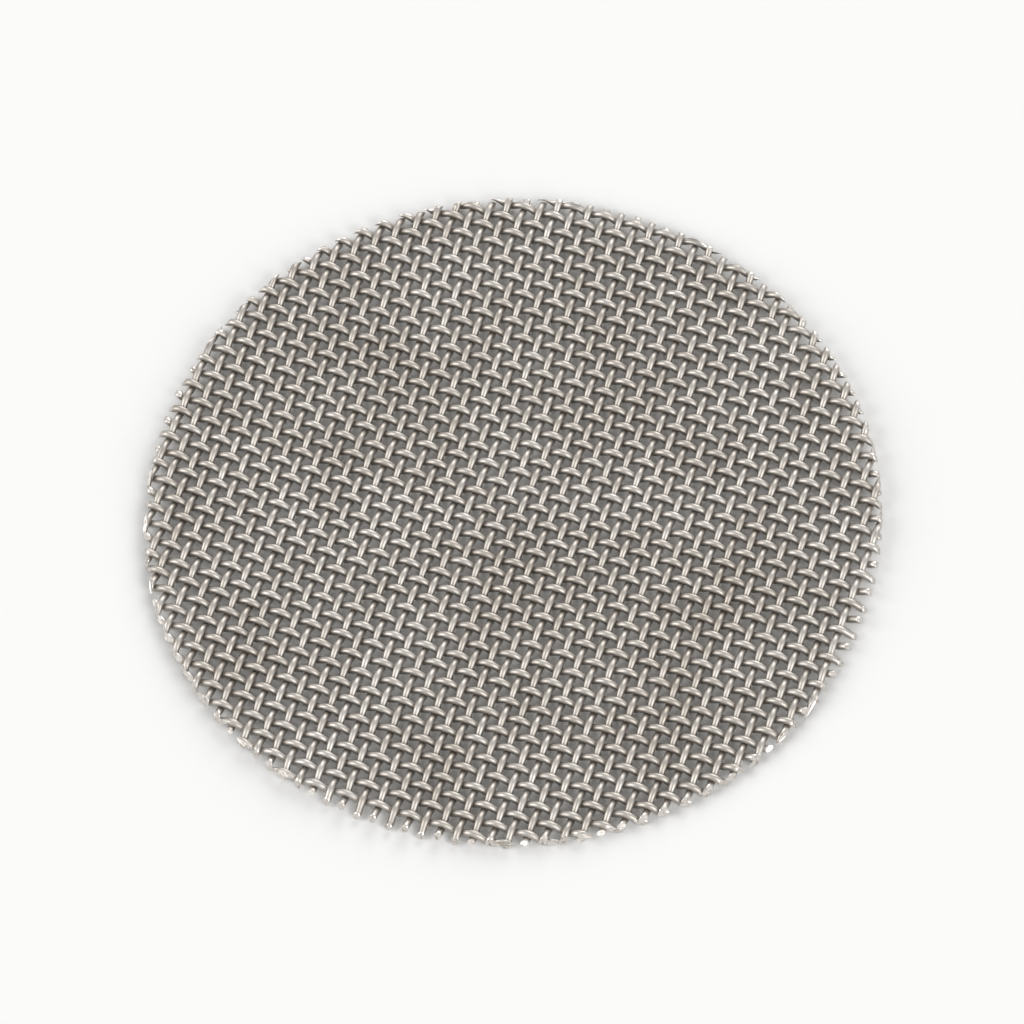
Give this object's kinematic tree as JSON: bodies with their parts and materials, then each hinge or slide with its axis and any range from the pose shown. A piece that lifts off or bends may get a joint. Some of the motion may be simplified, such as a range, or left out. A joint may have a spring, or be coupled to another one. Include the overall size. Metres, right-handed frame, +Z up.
{
  "type": "wire mesh filter disc",
  "caption": "Small flat round filter screen punched from plain-woven stainless wire cloth, laid or clamped across an opening to strain what passes through.",
  "frame": {"origin": "centre of the disc, on the surface that its underside rests on", "axes": "+Z up through the thickness of the cloth, with the wires along X and Y"},
  "size_m": [0.019, 0.019, 0.0004],
  "materials": {
    "stainless_wire": "bright drawn wire, woven and punched"
  },
  "bodies": {
    "root": {"mesh_disc": "stainless_wire"}
  },
  "joints": []
}
